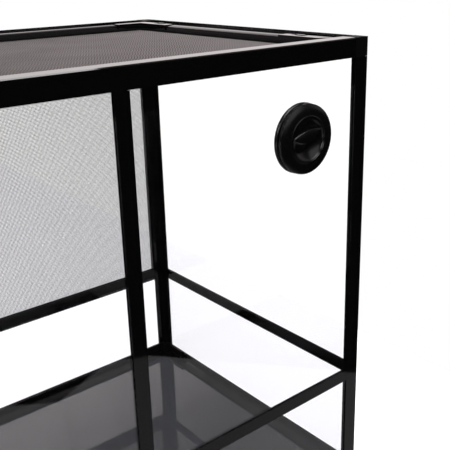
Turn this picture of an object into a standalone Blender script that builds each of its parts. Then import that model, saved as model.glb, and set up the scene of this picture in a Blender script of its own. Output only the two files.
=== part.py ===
"""Framed glass terrarium with a screened lid and two screened doors.

Twelve slotted bars and eight corner connectors make the frame. Glass panes stand in the slots
of the bars, a floor panel lies inside the base rails, a screened lid rests in the top rails and
is held by four sliding locks, and two screened doors hang on pivots at the front. A rotary port
goes through one rear pane.

Metres, +Z up. The front faces -Y, the rear faces +Y, and the origin is on the ground under the
middle of the object.
"""
import math

import bmesh
import bpy
from mathutils import Matrix

MM = 0.001

# Overall size of the frame
WIDTH = 650 * MM
DEPTH = 450 * MM
HEIGHT = 600 * MM

# Clearance between pieces that touch
GAP = 0.3 * MM

# Slotted bars
FLANGE_WIDTH = 20 * MM
FLANGE_THICKNESS = 6.4 * MM
RAIL_HEIGHT = 22 * MM
RAIL_CHAMFER = 1.1 * MM
TUBE_WALL = 1.6 * MM
POST_HEEL = 12 * MM
POST_WALL = 2 * MM
SLOT_DEPTH = 6 * MM
MID_POST_WIDTH = 16.4 * MM
MID_RAIL_HEIGHT = 15.6 * MM
MID_RAIL_TOP = 177 * MM
TENON_INSET = 0.2 * MM
LEDGE_WIDTH = 8 * MM
LEDGE_THICKNESS = 2 * MM

# Corner connectors
SPIGOT_LENGTH = 25 * MM
BASE_RISE = 4 * MM
CLAMP_LENGTH = 40 * MM
CLAMP_THICKNESS = 4.3 * MM
FOOT_HEIGHT = 6 * MM
FOOT_RADIUS = 9 * MM
FOOT_TAPER = 1.5 * MM

# Panes and floor
GLASS_THICKNESS = 4 * MM
FLOOR_THICKNESS = 4 * MM
FLOOR_DEPTH = 8 * MM

# Lid
LID_SIDE_GAP = 1 * MM
LID_DROP = 3.7 * MM
LID_STRIP_WIDTH = 18 * MM
LID_LIP_WIDTH = 6 * MM
LID_LIP_THICKNESS = 6.8 * MM
SCREEN_THICKNESS = 0.6 * MM
SPLINE_WIDTH = 3 * MM
CORNER_DROP = 1.2 * MM
CORNER_WIDTH = 20 * MM
CORNER_ARM_X = 58 * MM
CORNER_ARM_Y = 84 * MM
SKIRT_THICKNESS = 1.7 * MM
LID_LIFT = 150 * MM

# Lid locks
LOCK_WIDTH = 20 * MM
LOCK_LENGTH = 13 * MM
LOCK_FROM_CORNER = 48 * MM
LOCK_TRAVEL = 6 * MM
LOCK_RIDGE_HEIGHT = 0.9 * MM
LOCK_RIDGE_LENGTH = 4 * MM
LOCK_RIDGE_WIDTH = 14 * MM

# Doors
DOOR_THICKNESS = 8 * MM
DOOR_FRAME_WIDTH = 18 * MM
DOOR_STANDOFF = 0.5 * MM
DOOR_EDGE_INSET = 1 * MM
DOOR_MEETING_GAP = 1.5 * MM
DOOR_BAR_WIDTH = 15 * MM
DOOR_LOW_OVERLAP = 22 * MM
RABBET_WIDTH = 5 * MM
RABBET_DEPTH = 3.7 * MM

# Door pivots, latch and finger bars
PIVOT_RADIUS = 1.5 * MM
PIVOT_LENGTH = 8 * MM
PIVOT_CLEARANCE = 0.3 * MM
BRACKET_WIDTH = 14 * MM
BRACKET_HEIGHT = 6 * MM
BRACKET_GAP = 0.5 * MM
LATCH_LENGTH = 34 * MM
LATCH_WIDTH = 10 * MM
LATCH_THICKNESS = 3 * MM
LATCH_PIN_RADIUS = 2 * MM
LATCH_PIN_LENGTH = 5 * MM
PULL_LENGTH = 40 * MM
PULL_WIDTH = 8 * MM
PULL_HEIGHT = 4.3 * MM
PULL_DROP = 60 * MM

# Rotary port
PORT_FROM_SIDE = 106 * MM
PORT_FROM_TOP = 100.5 * MM
PORT_FLANGE_WIDTH = 12.4 * MM
PORT_FLANGE_THICKNESS = 4 * MM
PORT_RING_OVERHANG = 0.4 * MM
PORT_GROOVE_DEPTH = 2.8 * MM
PORT_GROOVE_WIDTH = 1.5 * MM
PORT_RING_HEIGHT = 10.5 * MM
PORT_RIM_HEIGHT = 13.5 * MM
PORT_EDGE = 1 * MM
PORT_BOWL_STEP = 0.8 * MM
PORT_SLEEVE_RADIUS = 26.6 * MM
PORT_SLEEVE_WALL = 3 * MM
PORT_SLEEVE_LENGTH = 9 * MM
PORT_WEB_FRONT = 4.5 * MM
PORT_WEB_THICKNESS = 3 * MM
PORT_AXLE_RADIUS = 4 * MM
PORT_AXLE_LENGTH = 8 * MM
PORT_RUNNING_GAP = 0.4 * MM
PORT_DISC_THICKNESS = 3.7 * MM
PORT_GRIP_SPACE = 1.9 * MM
PORT_GRIP_WIDTH = 20 * MM
PORT_GRIP_END_WIDTH = 11 * MM
PORT_GRIP_TOP = 14 * MM
PORT_TILT = math.radians(12)
PORT_NUT_WIDTH = 3.5 * MM
PORT_NUT_THICKNESS = 4 * MM
ROUND_SEGMENTS = 40

# Levels and planes that several pieces share
SLOT_WIDTH = GLASS_THICKNESS + 2 * GAP
SLOT_LIP = (FLANGE_THICKNESS - SLOT_WIDTH) / 2
SLOT_MIDDLE = FLANGE_THICKNESS / 2
SLOT_END = FLANGE_WIDTH - SLOT_DEPTH
TENON_THICKNESS = SLOT_WIDTH - 2 * GAP
BASE_BOTTOM = FOOT_HEIGHT
BASE_TOP = BASE_BOTTOM + RAIL_HEIGHT
BASE_CONNECTOR_TOP = BASE_TOP + BASE_RISE
BASE_SLOT_FLOOR = BASE_TOP - SLOT_DEPTH
TOP_RAIL_BOTTOM = HEIGHT - RAIL_HEIGHT
TOP_SLOT_CEILING = TOP_RAIL_BOTTOM + SLOT_DEPTH
FLOOR_TOP = BASE_TOP - FLOOR_DEPTH
FLOOR_BOTTOM = FLOOR_TOP - FLOOR_THICKNESS
FLOOR_SEAT = FLOOR_BOTTOM - GAP
MID_RAIL_BOTTOM = MID_RAIL_TOP - MID_RAIL_HEIGHT
MID_WEB_TOP = MID_RAIL_TOP - SLOT_DEPTH
MID_WEB_BOTTOM = MID_RAIL_BOTTOM + SLOT_DEPTH
MID_POST_WEB = MID_POST_WIDTH - 2 * SLOT_DEPTH
LEDGE_TOP = TOP_RAIL_BOTTOM + LEDGE_THICKNESS
LID_EDGE = FLANGE_WIDTH + LID_SIDE_GAP
LID_BOTTOM = LEDGE_TOP + GAP
LID_TOP = HEIGHT - LID_DROP
LIP_TOP = LID_BOTTOM + LID_LIP_THICKNESS
SCREEN_BOTTOM = LIP_TOP + GAP
SCREEN_TOP = SCREEN_BOTTOM + SCREEN_THICKNESS
SPLINE_BOTTOM = SCREEN_TOP + GAP
SPLINE_TOP = SPLINE_BOTTOM + SPLINE_WIDTH
LID_INNER_EDGE = LID_EDGE + LID_STRIP_WIDTH
CORNER_BOTTOM = LID_TOP + GAP
CORNER_TOP = HEIGHT - CORNER_DROP
DOOR_BACK = DEPTH / 2 + DOOR_STANDOFF
DOOR_FRONT = DOOR_BACK + DOOR_THICKNESS
DOOR_MIDDLE = DOOR_BACK + DOOR_THICKNESS / 2
DOOR_BOTTOM = MID_RAIL_TOP - DOOR_LOW_OVERLAP
DOOR_TOP = TOP_RAIL_BOTTOM + DOOR_BAR_WIDTH
PIVOT_X = WIDTH / 2 - DOOR_EDGE_INSET - DOOR_THICKNESS / 2
MEETING_X = DOOR_MEETING_GAP / 2
LATCH_X = MEETING_X + DOOR_FRAME_WIDTH / 2
LATCH_Z = (DOOR_BOTTOM + DOOR_TOP) / 2
GLASS_OUTER = DEPTH / 2 - SLOT_LIP - GAP
PORT_FLANGE_RADIUS = PORT_SLEEVE_RADIUS + PORT_FLANGE_WIDTH
PORT_RING_RADIUS = PORT_FLANGE_RADIUS + PORT_RING_OVERHANG
PORT_BOWL_RADIUS = PORT_SLEEVE_RADIUS - PORT_SLEEVE_WALL + PORT_BOWL_STEP
PORT_GRIP_LENGTH = 2 * (PORT_BOWL_RADIUS - PORT_GRIP_SPACE)
PORT_NUT_BORE = PORT_SLEEVE_RADIUS + GAP
PORT_NUT_RADIUS = PORT_NUT_BORE + PORT_NUT_WIDTH
PORT_X = PORT_FROM_SIDE - WIDTH / 2
PORT_Z = HEIGHT - PORT_FROM_TOP

# Colours as the surfaces look in daylight, with roughness and metallic
FINISHES = {
    "frame_black": ((0.012, 0.012, 0.014), 0.22, 0.0),
    "connector_black": ((0.015, 0.015, 0.016), 0.45, 0.0),
    "lid_black": ((0.02, 0.02, 0.021), 0.35, 0.0),
    "screen_grey": ((0.17, 0.165, 0.165), 0.5, 0.6),
    "spline_black": ((0.02, 0.02, 0.02), 0.8, 0.0),
    "glass": ((0.95, 0.98, 0.97), 0.02, 0.0),
    "floor_slate": ((0.09, 0.095, 0.105), 0.12, 0.0),
    "port_black": ((0.014, 0.014, 0.015), 0.3, 0.0),
}


def clear_scene():
    """Removes every object, so the script starts from nothing."""
    for item in list(bpy.data.objects):
        bpy.data.objects.remove(item, do_unlink=True)


def make_collection(name):
    collection = bpy.data.collections.new(name)
    bpy.context.scene.collection.children.link(collection)
    return collection


def make_materials():
    materials = {}
    for name, (colour, roughness, metallic) in FINISHES.items():
        material = bpy.data.materials.new(name)
        material.use_nodes = True
        shader = material.node_tree.nodes["Principled BSDF"]
        shader.inputs["Base Color"].default_value = (*colour, 1.0)
        shader.inputs["Roughness"].default_value = roughness
        shader.inputs["Metallic"].default_value = metallic
        if name == "glass":
            shader.inputs["Transmission Weight"].default_value = 1.0
        materials[name] = material
    return materials


clear_scene()
PARTS = make_collection("terrarium")
CUTTERS = make_collection("terrarium_cutters")
MATERIALS = make_materials()

# Rotations that stand a flat outline across each axis: its local X and Y become the two
# other axes in X, Y, Z order, and it is extruded along its local Z
ACROSS = {
    "X": Matrix(((0, 0, 1), (1, 0, 0), (0, 1, 0))).to_4x4(),
    "Y": Matrix(((1, 0, 0), (0, 0, -1), (0, 1, 0))).to_4x4(),
    "Z": Matrix.Identity(4),
}


def finish(piece, finish_name):
    piece.data.materials.clear()
    piece.data.materials.append(MATERIALS[finish_name])
    return piece


def as_cutter(piece):
    """A piece that only shapes others: it is drawn as wire and never rendered."""
    piece.hide_render = True
    piece.display_type = "WIRE"
    return piece


def outline_solid(name, loops, axis, low, high, finish_name=None):
    """Extrudes a flat outline, with holes, along one axis from low to high."""
    curve = bpy.data.curves.new(name, "CURVE")
    curve.dimensions = "2D"
    curve.fill_mode = "BOTH"
    curve.extrude = (high - low) / 2
    for loop in loops:
        spline = curve.splines.new("POLY")
        spline.points.add(len(loop) - 1)
        for point, (across, up) in zip(spline.points, loop):
            point.co = (across, up, 0, 1)
        spline.use_cyclic_u = True
    guide = bpy.data.objects.new(name + "_outline", curve)
    bpy.context.scene.collection.objects.link(guide)
    bpy.context.view_layer.update()
    graph = bpy.context.evaluated_depsgraph_get()
    mesh = bpy.data.meshes.new_from_object(guide.evaluated_get(graph))
    bpy.data.objects.remove(guide, do_unlink=True)
    bpy.data.curves.remove(curve)
    weld(mesh)
    mesh.name = name
    middle = (high + low) / 2
    offset = {"X": (middle, 0, 0), "Y": (0, middle, 0), "Z": (0, 0, middle)}[axis]
    piece = bpy.data.objects.new(name, mesh)
    piece.matrix_world = Matrix.Translation(offset) @ ACROSS[axis]
    return settle(piece, finish_name)


def settle(piece, finish_name):
    """Files a piece with the parts, or with the cutters when it has no finish."""
    if finish_name:
        PARTS.objects.link(piece)
        return finish(piece, finish_name)
    CUTTERS.objects.link(piece)
    return as_cutter(piece)


def weld(mesh):
    shape = bmesh.new()
    shape.from_mesh(mesh)
    bmesh.ops.remove_doubles(shape, verts=shape.verts, dist=1e-6)
    bmesh.ops.recalc_face_normals(shape, faces=shape.faces)
    shape.to_mesh(mesh)
    shape.free()


def boxes(name, spans, finish_name=None):
    """One object of separate boxes, each given by its two far corners in any order."""
    mesh = bpy.data.meshes.new(name)
    shape = bmesh.new()
    for first, second in spans:
        low = [min(a, b) for a, b in zip(first, second)]
        high = [max(a, b) for a, b in zip(first, second)]
        size = [b - a for a, b in zip(low, high)]
        middle = [(a + b) / 2 for a, b in zip(low, high)]
        place = Matrix.Translation(middle) @ Matrix.Diagonal((*size, 1))
        bmesh.ops.create_cube(shape, size=1, matrix=place)
    shape.to_mesh(mesh)
    shape.free()
    piece = bpy.data.objects.new(name, mesh)
    return settle(piece, finish_name)


def cylinder(name, radius, axis, low, high, centre, finish_name=None, far_radius=None):
    """A cylinder or cone along one axis; centre gives its place on the two other axes."""
    mesh = bpy.data.meshes.new(name)
    shape = bmesh.new()
    bmesh.ops.create_cone(
        shape,
        cap_ends=True,
        segments=ROUND_SEGMENTS if radius > 8 * MM else ROUND_SEGMENTS // 2,
        radius1=radius,
        radius2=radius if far_radius is None else far_radius,
        depth=high - low,
    )
    shape.to_mesh(mesh)
    shape.free()
    middle = (high + low) / 2
    a, b = centre
    offset = {"X": (middle, a, b), "Y": (a, middle, b), "Z": (a, b, middle)}[axis]
    piece = bpy.data.objects.new(name, mesh)
    piece.matrix_world = Matrix.Translation(offset) @ ACROSS[axis]
    round_off(piece)
    return settle(piece, finish_name)


def round_off(piece):
    piece.data.shade_smooth()
    piece.data.set_sharp_from_angle(angle=math.radians(35))


def combine(piece, other, operation):
    modifier = piece.modifiers.new(operation.lower() + "_" + other.name, "BOOLEAN")
    modifier.operation = operation
    modifier.object = other
    modifier.solver = "EXACT"
    return piece


def join(piece, other):
    return combine(piece, other, "UNION")


def cut(piece, other):
    return combine(piece, other, "DIFFERENCE")


def side_x(side, inward):
    """World X of a point that lies inward from the left (-1) or right (1) face."""
    return side * (WIDTH / 2 - inward)


def side_y(side, inward):
    """World Y of a point that lies inward from the front (-1) or rear (1) face."""
    return side * (DEPTH / 2 - inward)


SIDE_NAMES = {-1: "left", 1: "right"}
FACE_NAMES = {-1: "front", 1: "rear"}
CORNERS = [(x, y) for y in (-1, 1) for x in (-1, 1)]


def corner_name(x, y):
    return FACE_NAMES[y] + "_" + SIDE_NAMES[x]


def slotted_half(start, end):
    """Cross-section points of a slot that opens at end, from its inner to its outer wall."""
    return [
        (end, FLANGE_THICKNESS),
        (end, FLANGE_THICKNESS - SLOT_LIP),
        (start, FLANGE_THICKNESS - SLOT_LIP),
        (start, SLOT_LIP),
        (end, SLOT_LIP),
        (end, 0),
    ]


def make_corner_posts():
    """L-shaped posts: a slot at the end of each flange and a square bore in the heel."""
    flange = slotted_half(SLOT_END, FLANGE_WIDTH)
    turned = [(b, a) for a, b in flange]
    section = turned + [(0, 0)] + list(reversed(flange))
    section += [(POST_HEEL, FLANGE_THICKNESS), (POST_HEEL, POST_HEEL), (FLANGE_THICKNESS, POST_HEEL)]
    near = POST_WALL
    far = POST_HEEL - POST_WALL
    bore = [(near, near), (far, near), (far, far), (near, far)]
    for x, y in CORNERS:
        loops = [[(side_x(x, a), side_y(y, b)) for a, b in loop] for loop in (section, bore)]
        outline_solid(
            "corner_post_" + corner_name(x, y),
            loops,
            "Z",
            BASE_CONNECTOR_TOP + GAP,
            TOP_RAIL_BOTTOM - GAP,
            "frame_black",
        )


def top_rail_section(with_ledge):
    """Points (inward, down) of a top rail and of its bore."""
    section = [(0, RAIL_CHAMFER), (RAIL_CHAMFER, 0), (FLANGE_WIDTH, 0)]
    if with_ledge:
        section += [
            (FLANGE_WIDTH, RAIL_HEIGHT - LEDGE_THICKNESS),
            (FLANGE_WIDTH + LEDGE_WIDTH, RAIL_HEIGHT - LEDGE_THICKNESS),
            (FLANGE_WIDTH + LEDGE_WIDTH, RAIL_HEIGHT),
        ]
    else:
        section += [(FLANGE_WIDTH, RAIL_HEIGHT)]
    section += rail_slot(RAIL_HEIGHT, -1)
    bore = tube_bore(0, RAIL_HEIGHT - SLOT_DEPTH)
    return section, bore


def rail_slot(edge, direction):
    """Points of the pane slot that opens at a rail's edge, from inside to outside."""
    bottom = edge + direction * SLOT_DEPTH
    return [
        (FLANGE_THICKNESS - SLOT_LIP, edge),
        (FLANGE_THICKNESS - SLOT_LIP, bottom),
        (SLOT_LIP, bottom),
        (SLOT_LIP, edge),
        (0, edge),
    ]


def tube_bore(low, high):
    left = TUBE_WALL
    right = FLANGE_WIDTH - TUBE_WALL
    return [
        (left, low + TUBE_WALL),
        (right, low + TUBE_WALL),
        (right, high - TUBE_WALL),
        (left, high - TUBE_WALL),
    ]


def base_rail_section():
    """Points (inward, up) of a base rail, whose low inner part carries the floor panel."""
    seat = FLOOR_SEAT - BASE_BOTTOM
    section = [(0, 0), (FLANGE_WIDTH, 0), (FLANGE_WIDTH, seat), (FLANGE_THICKNESS, seat)]
    section += [(FLANGE_THICKNESS, RAIL_HEIGHT)]
    section += rail_slot(RAIL_HEIGHT, -1)
    return section, tube_bore(0, seat)


def make_outer_rails():
    """The four top rails and four base rails, each between two connectors."""
    start = FLANGE_WIDTH + GAP
    for level, x_loops, y_loops in (
        ("top", top_rail_section(True), top_rail_section(False)),
        ("base", base_rail_section(), base_rail_section()),
    ):
        height = (lambda up: HEIGHT - up) if level == "top" else (lambda up: BASE_BOTTOM + up)
        for y in (-1, 1):
            loops = [[(side_y(y, a), height(b)) for a, b in loop] for loop in x_loops]
            name = level + "_rail_" + FACE_NAMES[y]
            outline_solid(name, loops, "X", side_x(-1, start), side_x(1, start), "frame_black")
        for x in (-1, 1):
            loops = [[(side_x(x, a), height(b)) for a, b in loop] for loop in y_loops]
            name = level + "_rail_" + SIDE_NAMES[x]
            rail = outline_solid(name, loops, "Y", side_y(-1, start), side_y(1, start), "frame_black")
            if level == "top":
                cut(rail, lock_slot_cutter(x))


def lock_slot_cutter(x):
    """Cuts the two openings in a side rail's inner wall that take the lid's lock bolts."""
    spans = []
    for y in (-1, 1):
        near = LID_EDGE + LOCK_FROM_CORNER - 2 * GAP
        far = LID_EDGE + LOCK_FROM_CORNER + LOCK_WIDTH + 4 * GAP
        low = (side_x(x, LID_EDGE - LOCK_TRAVEL), side_y(y, near), CORNER_BOTTOM - GAP)
        high = (side_x(x, LID_EDGE), side_y(y, far), CORNER_TOP)
        spans.append((low, high))
    return boxes("lock_slots_" + SIDE_NAMES[x], spans)


def connector_body(name, x, y, low, high):
    span = ((side_x(x, 0), side_y(y, 0), low), (side_x(x, FLANGE_WIDTH), side_y(y, FLANGE_WIDTH), high))
    return boxes(name, [span], "connector_black")


def rail_spigots(x, y, low, high):
    """Boxes that push into the bores of the two rails beside a connector."""
    root = FLANGE_WIDTH - 1 * MM
    tip = FLANGE_WIDTH + SPIGOT_LENGTH
    near = TUBE_WALL + GAP
    far = FLANGE_WIDTH - TUBE_WALL - GAP
    return [
        ((side_x(x, root), side_y(y, near), low), (side_x(x, tip), side_y(y, far), high)),
        ((side_x(x, near), side_y(y, root), low), (side_x(x, far), side_y(y, tip), high)),
    ]


def post_spigot(x, y, root, tip):
    near = POST_WALL + GAP
    far = POST_HEEL - POST_WALL - GAP
    return ((side_x(x, near), side_y(y, near), root), (side_x(x, far), side_y(y, far), tip))


def pane_notches(name, x, y, low, high):
    """Cuts a connector where the corner of a pane in each of its two faces passes."""
    near = SLOT_LIP
    far = FLANGE_THICKNESS - SLOT_LIP
    end = FLANGE_WIDTH + 1 * MM
    return boxes(
        name + "_notches",
        [
            ((side_x(x, SLOT_END), side_y(y, near), low), (side_x(x, end), side_y(y, far), high)),
            ((side_x(x, near), side_y(y, SLOT_END), low), (side_x(x, far), side_y(y, end), high)),
        ],
    )


def make_top_connectors():
    for x, y in CORNERS:
        name = "top_connector_" + corner_name(x, y)
        body = connector_body(name, x, y, TOP_RAIL_BOTTOM, HEIGHT)
        low = TOP_SLOT_CEILING + TUBE_WALL + GAP
        spigots = rail_spigots(x, y, low, HEIGHT - TUBE_WALL - GAP)
        root = TOP_RAIL_BOTTOM + 1 * MM
        spigots.append(post_spigot(x, y, root, TOP_RAIL_BOTTOM - SPIGOT_LENGTH))
        join(body, boxes(name + "_spigots", spigots))
        cut(body, pane_notches(name, x, y, TOP_RAIL_BOTTOM - 1 * MM, TOP_SLOT_CEILING))


def make_base_connectors():
    """Base connectors also have a foot, and two clamp arms that hold the floor panel down."""
    for x, y in CORNERS:
        name = "base_connector_" + corner_name(x, y)
        body = connector_body(name, x, y, BASE_BOTTOM, BASE_CONNECTOR_TOP)
        low = BASE_BOTTOM + TUBE_WALL + GAP
        additions = rail_spigots(x, y, low, FLOOR_SEAT - TUBE_WALL - GAP)
        root = BASE_CONNECTOR_TOP - 1 * MM
        additions.append(post_spigot(x, y, root, BASE_CONNECTOR_TOP + SPIGOT_LENGTH))
        additions += clamp_arms(x, y)
        join(body, boxes(name + "_additions", additions))
        join(body, foot(name, x, y))
        cut(body, pane_notches(name, x, y, BASE_SLOT_FLOOR, BASE_CONNECTOR_TOP + 1 * MM))


def clamp_arms(x, y):
    root = FLANGE_WIDTH - 1 * MM
    tip = FLANGE_WIDTH + CLAMP_LENGTH
    near = FLANGE_THICKNESS + GAP
    far = near + CLAMP_THICKNESS
    low = FLOOR_TOP + GAP
    high = BASE_CONNECTOR_TOP
    return [
        ((side_x(x, root), side_y(y, near), low), (side_x(x, tip), side_y(y, far), high)),
        ((side_x(x, near), side_y(y, root), low), (side_x(x, far), side_y(y, tip), high)),
    ]


def foot(name, x, y):
    """The round foot moulded under a base connector, a little wider at its root."""
    return cylinder(
        name + "_foot",
        FOOT_RADIUS - FOOT_TAPER,
        "Z",
        0,
        FOOT_HEIGHT + 1 * MM,
        (side_x(x, FLANGE_WIDTH / 2), side_y(y, FLANGE_WIDTH / 2)),
        far_radius=FOOT_RADIUS,
    )


def make_mid_post():
    """H-shaped post between the two rear panes, with tenons in the rear rails' slots."""
    half = MID_POST_WIDTH / 2
    web = MID_POST_WEB / 2
    low = BASE_TOP + GAP
    high = TOP_RAIL_BOTTOM - GAP
    span = ((-half, side_y(1, 0), low), (half, side_y(1, FLANGE_THICKNESS), high))
    post = boxes("mid_post_rear", [span], "frame_black")
    near = side_y(1, SLOT_LIP)
    far = side_y(1, FLANGE_THICKNESS - SLOT_LIP)
    slots = []
    for x in (-1, 1):
        slots.append(((x * web, near, low - 1 * MM), (x * (half + 1 * MM), far, high + 1 * MM)))
    cut(post, boxes("mid_post_slots", slots))
    near = side_y(1, SLOT_MIDDLE - TENON_THICKNESS / 2)
    far = side_y(1, SLOT_MIDDLE + TENON_THICKNESS / 2)
    low = BASE_SLOT_FLOOR + GAP
    high = TOP_SLOT_CEILING - GAP
    tenon = web - TENON_INSET
    join(post, boxes("mid_post_tenons", [((-tenon, near, low), (tenon, far, high))]))


def mid_rail_section():
    """Points (inward, up) of an H-shaped rail with a pane slot above and below."""
    upper = [(a, b) for b, a in slotted_half(MID_WEB_TOP, MID_RAIL_TOP)]
    lower = [(a, b) for b, a in reversed(slotted_half(MID_WEB_BOTTOM, MID_RAIL_BOTTOM))]
    return upper + lower


def add_mid_rail(name, axis, place, low, high, tenon_low, tenon_high):
    """One mid rail; place turns an inward distance into the other horizontal coordinate."""
    loop = [(place(a), b) for a, b in mid_rail_section()]
    rail = outline_solid(name, [loop], axis, low, high, "frame_black")
    near = place(SLOT_MIDDLE - TENON_THICKNESS / 2)
    far = place(SLOT_MIDDLE + TENON_THICKNESS / 2)
    bottom = MID_WEB_BOTTOM + TENON_INSET
    top = MID_WEB_TOP - TENON_INSET
    if axis == "X":
        span = ((tenon_low, near, bottom), (tenon_high, far, top))
    else:
        span = ((near, tenon_low, bottom), (far, tenon_high, top))
    join(rail, boxes(name + "_tenons", [span]))


def make_mid_rails():
    start = FLANGE_WIDTH + GAP
    tenon = SLOT_END + GAP
    post_side = MID_POST_WIDTH / 2 + GAP
    post_tenon = MID_POST_WEB / 2 + GAP
    rear = lambda inward: side_y(1, inward)
    front = lambda inward: side_y(-1, inward)
    add_mid_rail(
        "mid_rail_rear_left", "X", rear,
        side_x(-1, start), -post_side, side_x(-1, tenon), -post_tenon,
    )
    add_mid_rail(
        "mid_rail_rear_right", "X", rear,
        post_side, side_x(1, start), post_tenon, side_x(1, tenon),
    )
    add_mid_rail(
        "mid_rail_front", "X", front,
        side_x(-1, start), side_x(1, start), side_x(-1, tenon), side_x(1, tenon),
    )
    for x in (-1, 1):
        add_mid_rail(
            "mid_rail_" + SIDE_NAMES[x], "Y", lambda inward: side_x(x, inward),
            side_y(-1, start), side_y(1, start), side_y(-1, tenon), side_y(1, tenon),
        )


def make_glass():
    """Panes stand in the slots, clear of each slot's floor by the usual gap."""
    edge = SLOT_END + GAP
    near = SLOT_LIP + GAP
    far = near + GLASS_THICKNESS
    post_edge = MID_POST_WEB / 2 + GAP
    levels = {
        "upper": (MID_WEB_TOP + GAP, TOP_SLOT_CEILING - GAP),
        "lower": (BASE_SLOT_FLOOR + GAP, MID_WEB_BOTTOM - GAP),
    }
    for level, (low, high) in levels.items():
        for x in (-1, 1):
            name = "glass_rear_" + level + "_" + SIDE_NAMES[x]
            span = ((side_x(x, edge), side_y(1, near), low), (x * post_edge, side_y(1, far), high))
            pane = boxes(name, [span], "glass")
            if level == "upper" and x == -1:
                cut(pane, port_hole_cutter())
            name = "glass_" + SIDE_NAMES[x] + "_" + level
            span = ((side_x(x, near), side_y(-1, edge), low), (side_x(x, far), side_y(1, edge), high))
            boxes(name, [span], "glass")
    low, high = levels["lower"]
    span = ((side_x(-1, edge), side_y(-1, near), low), (side_x(1, edge), side_y(-1, far), high))
    boxes("glass_front_lower", [span], "glass")


def port_hole_cutter():
    return cylinder(
        "port_hole",
        PORT_SLEEVE_RADIUS + GAP,
        "Y",
        GLASS_OUTER - 2 * GLASS_THICKNESS,
        GLASS_OUTER + GLASS_THICKNESS,
        (PORT_X, PORT_Z),
    )


def make_floor():
    """The floor panel, with its corners cut out for the connectors."""
    edge = FLANGE_THICKNESS + GAP
    notch = FLANGE_WIDTH + GAP
    loop = []
    for x, y in ((-1, -1), (1, -1), (1, 1), (-1, 1)):
        steps = [(edge, notch), (notch, notch), (notch, edge)]
        if x * y < 0:
            steps.reverse()
        loop += [(side_x(x, a), side_y(y, b)) for a, b in steps]
    outline_solid("floor_panel", [loop], "Z", FLOOR_BOTTOM, FLOOR_TOP, "floor_slate")


def rectangle(left, right, low, high):
    return [(left, low), (right, low), (right, high), (left, high)]


def inset_rectangle(inward):
    """A rectangle in plan, inward from the frame's outer faces."""
    return rectangle(side_x(-1, inward), side_x(1, inward), side_y(-1, inward), side_y(1, inward))


def make_lid():
    frame = outline_solid(
        "lid_frame",
        [inset_rectangle(LID_EDGE), inset_rectangle(LID_INNER_EDGE)],
        "Z",
        LID_BOTTOM,
        LID_TOP,
        "lid_black",
    )
    lip_edge = LID_INNER_EDGE + LID_LIP_WIDTH
    lip = outline_solid(
        "lid_lip",
        [inset_rectangle(LID_INNER_EDGE - 2 * MM), inset_rectangle(lip_edge)],
        "Z",
        LID_BOTTOM,
        LIP_TOP,
    )
    join(frame, lip)
    seat = LID_INNER_EDGE + GAP
    # The woven wires are 2 mm apart, so the screen is a plain sheet here.
    outline_solid(
        "lid_screen", [inset_rectangle(seat)], "Z", SCREEN_BOTTOM, SCREEN_TOP, "screen_grey"
    )
    outline_solid(
        "lid_spline",
        [inset_rectangle(seat), inset_rectangle(seat + SPLINE_WIDTH)],
        "Z",
        SPLINE_BOTTOM,
        SPLINE_TOP,
        "spline_black",
    )


def make_lid_corners():
    """Angle plates on the lid's corners, each with a pocket for its lock and an inner skirt."""
    inner = LID_EDGE + CORNER_WIDTH
    end_x = LID_EDGE + CORNER_ARM_X
    end_y = LID_EDGE + CORNER_ARM_Y
    near = LID_EDGE + LOCK_FROM_CORNER - GAP
    far = near + LOCK_WIDTH + 2 * GAP
    pocket = LID_EDGE + LOCK_LENGTH + 4 * GAP
    plate = [
        (LID_EDGE, LID_EDGE), (end_x, LID_EDGE), (end_x, inner), (inner, inner),
        (inner, end_y), (LID_EDGE, end_y), (LID_EDGE, far), (pocket, far),
        (pocket, near), (LID_EDGE, near),
    ]
    skirt_edge = inner - SKIRT_THICKNESS
    skirt = [
        (skirt_edge, skirt_edge), (end_x, skirt_edge), (end_x, inner),
        (inner, inner), (inner, end_y), (skirt_edge, end_y),
    ]
    for x, y in CORNERS:
        name = "lid_corner_" + corner_name(x, y)
        loop = [(side_x(x, a), side_y(y, b)) for a, b in plate]
        piece = outline_solid(name, [loop], "Z", CORNER_BOTTOM, CORNER_TOP, "lid_black")
        loop = [(side_x(x, a), side_y(y, b)) for a, b in skirt]
        below = outline_solid(name + "_skirt", [loop], "Z", SPLINE_TOP + GAP, CORNER_BOTTOM + 1 * MM)
        join(piece, below)


def make_lid_locks():
    """Sliding bolts, drawn back at rest, each with a ridge for the thumb."""
    back = LID_EDGE + LOCK_LENGTH + 2 * GAP
    front = back - LOCK_LENGTH
    near = LID_EDGE + LOCK_FROM_CORNER
    far = near + LOCK_WIDTH
    ridge_back = back - LOCK_RIDGE_LENGTH
    ridge_side = (LOCK_WIDTH - LOCK_RIDGE_WIDTH) / 2
    low = LID_TOP + GAP
    high = CORNER_TOP - GAP
    for x, y in CORNERS:
        name = "lid_lock_" + corner_name(x, y)
        span = ((side_x(x, front), side_y(y, near), low), (side_x(x, back), side_y(y, far), high))
        bolt = boxes(name, [span], "lid_black")
        ridge = (
            (side_x(x, ridge_back - LOCK_RIDGE_LENGTH), side_y(y, near + ridge_side), high - 1 * MM),
            (side_x(x, ridge_back), side_y(y, far - ridge_side), high + LOCK_RIDGE_HEIGHT),
        )
        join(bolt, boxes(name + "_ridge", [ridge]))


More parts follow.
